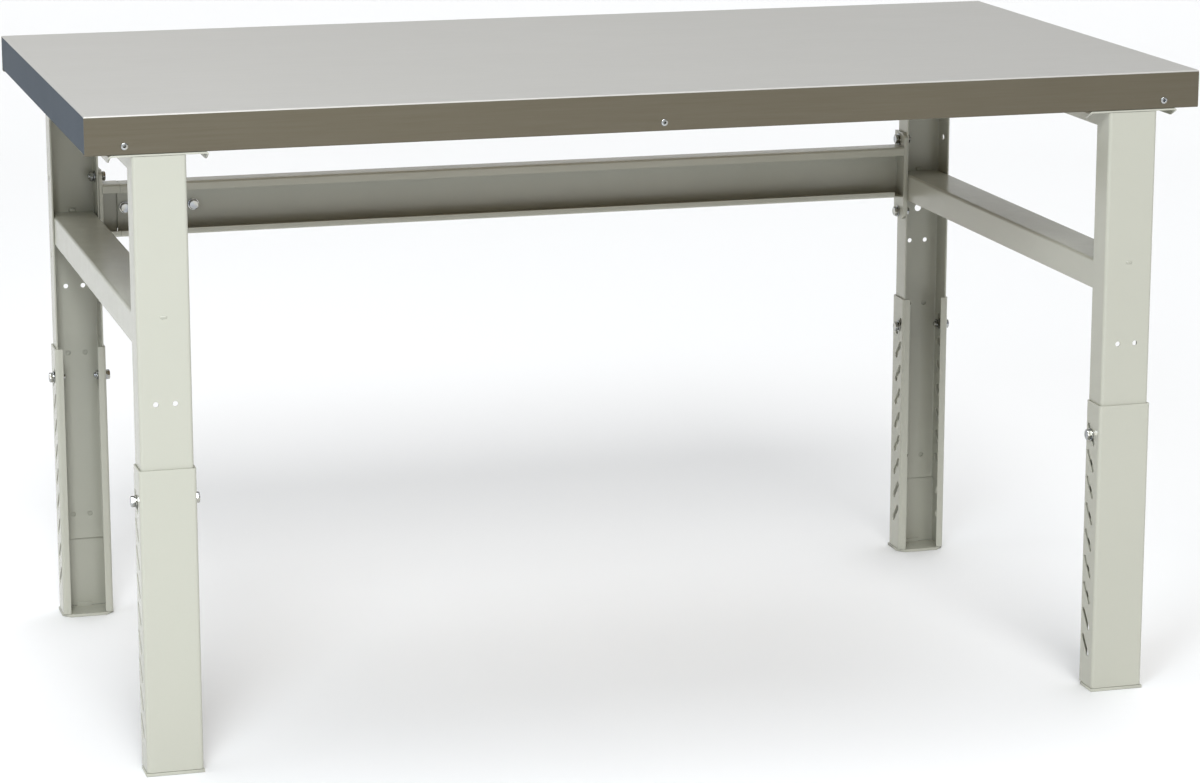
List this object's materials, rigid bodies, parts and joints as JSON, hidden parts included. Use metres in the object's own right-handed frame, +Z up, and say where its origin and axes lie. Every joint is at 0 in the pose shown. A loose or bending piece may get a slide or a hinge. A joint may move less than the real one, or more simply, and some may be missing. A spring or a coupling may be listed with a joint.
{
  "type": "height-adjustable workbench",
  "caption": "Steel-clad rectangular workbench on telescopic channel legs with slanted adjusting slots, side rails and a rear beam.",
  "frame": {"origin": "on the floor, under the centre of the worktop", "axes": "+X to the bench's right along its length, +Y to the back, +Z up"},
  "size_m": [1.5, 0.805, 0.86],
  "materials": {
    "paint": "light grey-green powder coat, satin",
    "steel_skin": "satin sheet steel with faint handling marks",
    "board": "raw particle board, hidden under the skin except below",
    "zinc": "bright zinc plate"
  },
  "bodies": {
    "frame": {"worktop_core": "board", "worktop_skin": "steel_skin", "worktop_end_cap_left": "steel_skin", "worktop_end_cap_right": "steel_skin", "skirt_screw_left": "zinc", "skirt_screw_middle": "zinc", "skirt_screw_right": "zinc", "upper_leg_front_left": "paint", "upper_leg_back_left": "paint", "side_rail_left": "paint", "top_cross_rail_left": "paint", "worktop_support_left": "paint", "upper_leg_front_right": "paint", "upper_leg_back_right": "paint", "side_rail_right": "paint", "top_cross_rail_right": "paint", "worktop_support_right": "paint", "fixing_screw_1": "zinc", "fixing_screw_2": "zinc", "fixing_screw_3": "zinc", "fixing_screw_4": "zinc", "rear_beam": "paint", "beam_end_plate_right": "paint", "beam_bracket_left": "paint", "beam_bolt_left_upper": "zinc", "beam_nut_left_upper": "zinc", "beam_bolt_left_lower": "zinc", "beam_nut_left_lower": "zinc", "beam_bolt_right_upper": "zinc", "beam_nut_right_upper": "zinc", "beam_bolt_right_lower": "zinc", "beam_nut_right_lower": "zinc", "tongue_bolt_1": "zinc", "tongue_bolt_2": "zinc"},
    "leg_front_left": {"leg_extension_front_left": "paint", "foot_plate_front_left": "paint", "clamp_bolt_front_left_outer": "zinc", "clamp_nut_front_left_outer": "zinc", "clamp_bolt_front_left_inner": "zinc", "clamp_nut_front_left_inner": "zinc"},
    "leg_back_left": {"leg_extension_back_left": "paint", "foot_plate_back_left": "paint", "clamp_bolt_back_left_outer": "zinc", "clamp_nut_back_left_outer": "zinc", "clamp_bolt_back_left_inner": "zinc", "clamp_nut_back_left_inner": "zinc"},
    "leg_front_right": {"leg_extension_front_right": "paint", "foot_plate_front_right": "paint", "clamp_bolt_front_right_outer": "zinc", "clamp_nut_front_right_outer": "zinc", "clamp_bolt_front_right_inner": "zinc", "clamp_nut_front_right_inner": "zinc"},
    "leg_back_right": {"leg_extension_back_right": "paint", "foot_plate_back_right": "paint", "clamp_bolt_back_right_outer": "zinc", "clamp_nut_back_right_outer": "zinc", "clamp_bolt_back_right_inner": "zinc", "clamp_nut_back_right_inner": "zinc"}
  },
  "joints": [
    {"name": "bench_height", "type": "slide", "parent": "leg_front_left", "child": "frame", "axis": [0, 0, 1], "range_m": [-0.075, 0.1875]},
    {"name": "height_back_left", "type": "slide", "parent": "frame", "child": "leg_back_left", "axis": [0, 0, -1], "range_m": [-0.075, 0.1875]},
    {"name": "height_front_right", "type": "slide", "parent": "frame", "child": "leg_front_right", "axis": [0, 0, -1], "range_m": [-0.075, 0.1875]},
    {"name": "height_back_right", "type": "slide", "parent": "frame", "child": "leg_back_right", "axis": [0, 0, -1], "range_m": [-0.075, 0.1875]}
  ],
  "couplings": [
    {"joint": "height_back_left", "follows": "bench_height", "ratio": 1},
    {"joint": "height_front_right", "follows": "bench_height", "ratio": 1},
    {"joint": "height_back_right", "follows": "bench_height", "ratio": 1}
  ]
}
